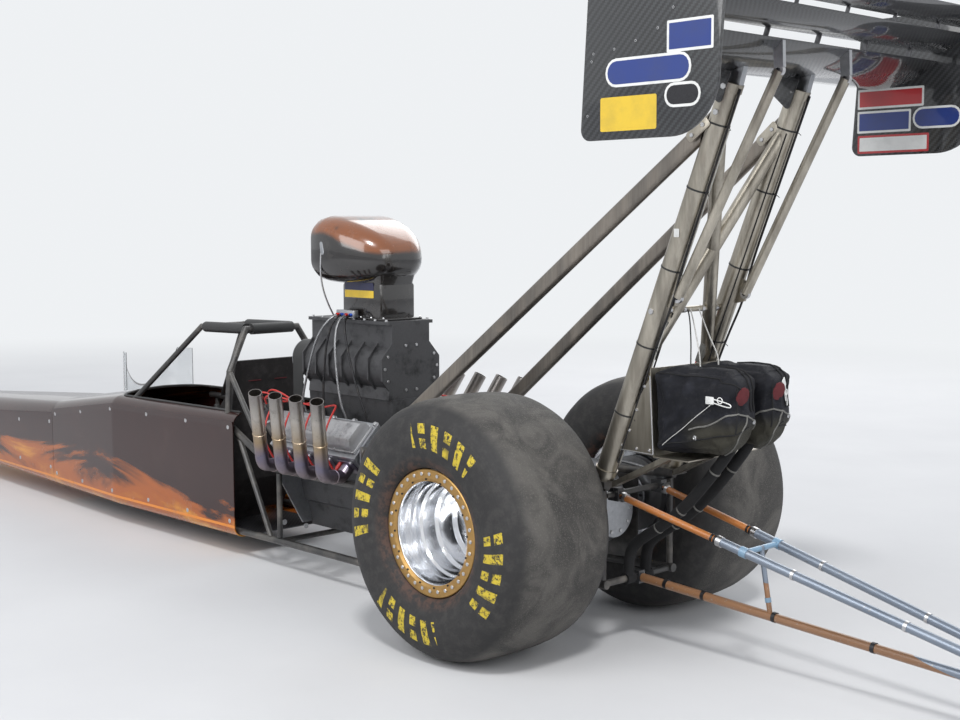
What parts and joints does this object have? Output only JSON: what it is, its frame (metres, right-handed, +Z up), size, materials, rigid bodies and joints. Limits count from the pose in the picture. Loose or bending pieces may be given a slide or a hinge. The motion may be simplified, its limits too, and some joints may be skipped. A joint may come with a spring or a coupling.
{
  "type": "drag racing car",
  "caption": "Long rear-engined drag racing car with open supercharged engine, tall rear wing, wide rear slicks, narrow steered front wheels, wheelie bars and parachute packs.",
  "frame": {"origin": "on the ground, below the middle of the whole car's length, on its centre line", "axes": "+X forward along the car, +Y to the car's left, +Z up"},
  "size_m": [10.355, 1.564, 2.292],
  "materials": {
    "frame_paint": "satin",
    "strut_titanium": "brushed, straw tinted",
    "strut_brown": "satin",
    "machined_aluminium": "polished",
    "cast_dark": "satin",
    "cover_silver": "satin",
    "drive_dark": "satin",
    "gloss_carbon": "glossy, fine weave",
    "magneto_dark": "matt",
    "pipe_steel": "heat tinted",
    "bare_steel": "satin",
    "ring_bronze": "anodised, satin",
    "tyre_rubber": "matt, scuffed",
    "pack_cloth": "woven",
    "bar_paint": "worn, brown ahead and steel blue behind",
    "roller_plastic": "matt",
    "body_gloss": "gloss, black brown",
    "floor_panel": "satin",
    "screen_clear": "clear",
    "seat_dark": "matt"
  },
  "bodies": {
    "chassis": {"frame_rails": "frame_paint", "frame_braces": "frame_paint", "axle_plates": "frame_paint", "roll_cage": "frame_paint", "motor_plates": "machined_aluminium", "engine_block": "cast_dark", "cylinder_heads": "machined_aluminium", "valve_covers": "cover_silver", "supercharger": "cast_dark", "blower_drive": "drive_dark", "starter_hub": "machined_aluminium", "injector_hat": "gloss_carbon", "magnetos": "magneto_dark", "headers": "pipe_steel", "clutch_housing": "machined_aluminium", "rear_end": "machined_aluminium", "brake_calipers": "machined_aluminium", "wing_uprights": "strut_titanium", "wing_front_struts": "strut_brown", "wing_braces": "strut_titanium", "wing_rods": "strut_titanium", "wing_main_plane": "gloss_carbon", "wing_second_plane": "gloss_carbon", "wing_flap": "gloss_carbon", "wing_end_plates": "gloss_carbon", "wing_brackets": "machined_aluminium", "parachute_packs": "pack_cloth", "parachute_mount": "strut_titanium", "wheelie_bars": "bar_paint", "body_floor": "floor_panel", "body_sides": "body_gloss", "body_top": "body_gloss", "nose": "body_gloss", "windscreen": "screen_clear", "seat": "seat_dark", "front_axle": "bare_steel", "front_wing": "gloss_carbon"},
    "rear_axle": {"rear_axle": "bare_steel", "rear_wheels": "machined_aluminium", "beadlock_rings": "ring_bronze", "rear_tyres": "tyre_rubber"},
    "steer_left": {"spindle_left": "bare_steel"},
    "steer_right": {"spindle_right": "bare_steel"},
    "tie_rod": {"tie_rod": "bare_steel"},
    "steering_wheel": {"steering_wheel": "seat_dark"},
    "front_wheel_left": {"front_wheel_left": "machined_aluminium", "front_tyre_left": "tyre_rubber"},
    "front_wheel_right": {"front_wheel_right": "machined_aluminium", "front_tyre_right": "tyre_rubber"},
    "wheelie_wheels": {"wheelie_wheels": "roller_plastic"}
  },
  "joints": [
    {"name": "rear_axle_spin", "type": "hinge", "parent": "chassis", "child": "rear_axle", "pos_m": [-3.1425, 0, 0.472], "axis": [0, 1, 0], "continuous": true},
    {"name": "steer_left", "type": "hinge", "parent": "chassis", "child": "steer_left", "pos_m": [4.4775, 0.352, 0.286], "axis": [0, 0, 1], "range_deg": [-15, 15]},
    {"name": "steer_right", "type": "hinge", "parent": "chassis", "child": "steer_right", "pos_m": [4.4775, -0.352, 0.286], "axis": [0, 0, 1], "range_deg": [-15, 15]},
    {"name": "tie_rod_slide", "type": "slide", "parent": "chassis", "child": "tie_rod", "axis": [0, 1, 0], "range_m": [-0.03, 0.03]},
    {"name": "steering_turn", "type": "hinge", "parent": "chassis", "child": "steering_wheel", "pos_m": [-0.5225, 0, 0.56], "axis": [0.963, 0, -0.2696], "range_deg": [-121, 121]},
    {"name": "front_wheel_left_spin", "type": "hinge", "parent": "steer_left", "child": "front_wheel_left", "pos_m": [4.4775, 0.43, 0.286], "axis": [0, 1, 0], "continuous": true},
    {"name": "front_wheel_right_spin", "type": "hinge", "parent": "steer_right", "child": "front_wheel_right", "pos_m": [4.4775, -0.43, 0.286], "axis": [0, 1, 0], "continuous": true},
    {"name": "wheelie_wheels_spin", "type": "hinge", "parent": "chassis", "child": "wheelie_wheels", "pos_m": [-5.1225, 0, 0.118], "axis": [0, 1, 0], "continuous": true}
  ],
  "couplings": [
    {"joint": "steer_right", "follows": "steer_left", "ratio": 1},
    {"joint": "tie_rod_slide", "follows": "steer_left", "m_per_rad": -0.11},
    {"joint": "steering_turn", "follows": "steer_left", "ratio": -8}
  ]
}
